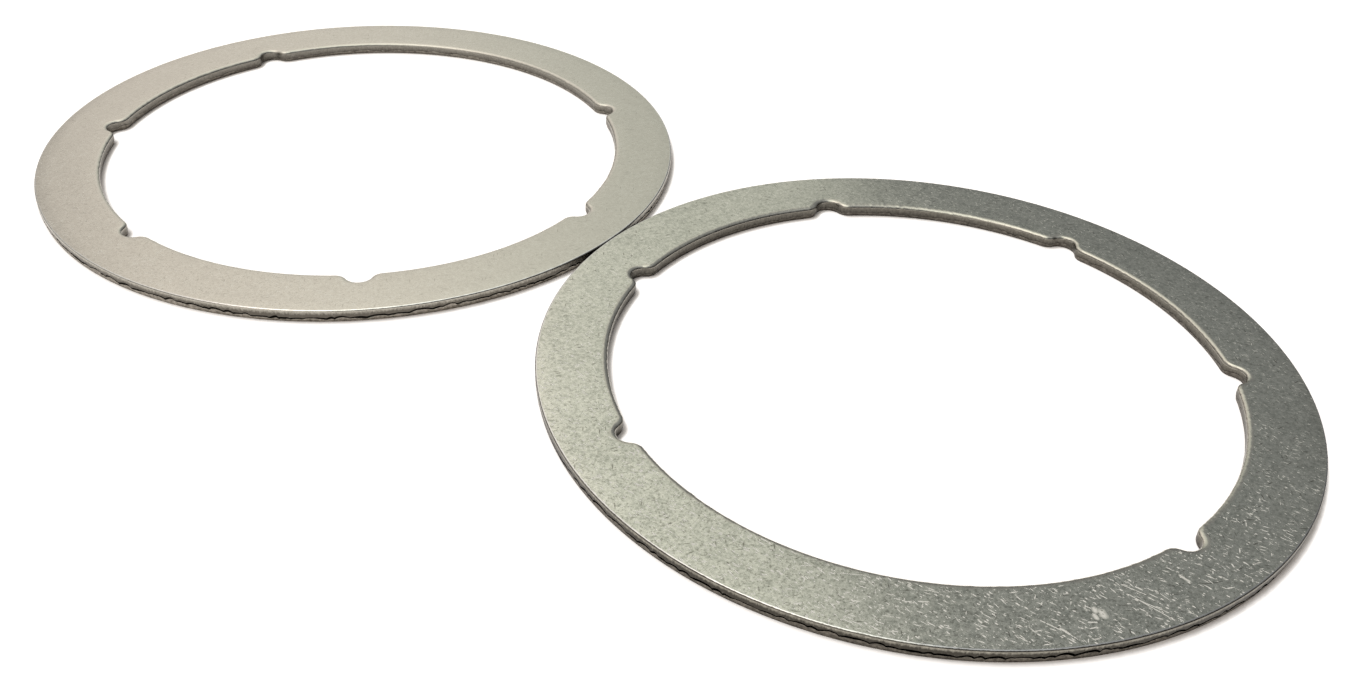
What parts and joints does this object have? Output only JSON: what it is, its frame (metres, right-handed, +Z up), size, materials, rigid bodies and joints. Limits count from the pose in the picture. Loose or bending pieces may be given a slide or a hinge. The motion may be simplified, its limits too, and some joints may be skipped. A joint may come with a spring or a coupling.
{
  "type": "pair of notched shim washers",
  "caption": "Flat steel shim rings with a wide bore, round notches in the bore edge and blanked edges, lying side by side with their rims together.",
  "frame": {"origin": "on the plane that both shims lie on, half-way between their two axes", "axes": "+X from the left shim's axis to the right shim's axis, +Z up along the axes"},
  "size_m": [0.2094, 0.1046, 0.0019],
  "materials": {
    "left_steel": "matt cold-rolled sheet with blanked edges",
    "right_steel": "matt cold-rolled sheet with blanked edges, finely scratched"
  },
  "bodies": {
    "root": {"left_shim": "left_steel", "right_shim": "right_steel"}
  },
  "joints": []
}
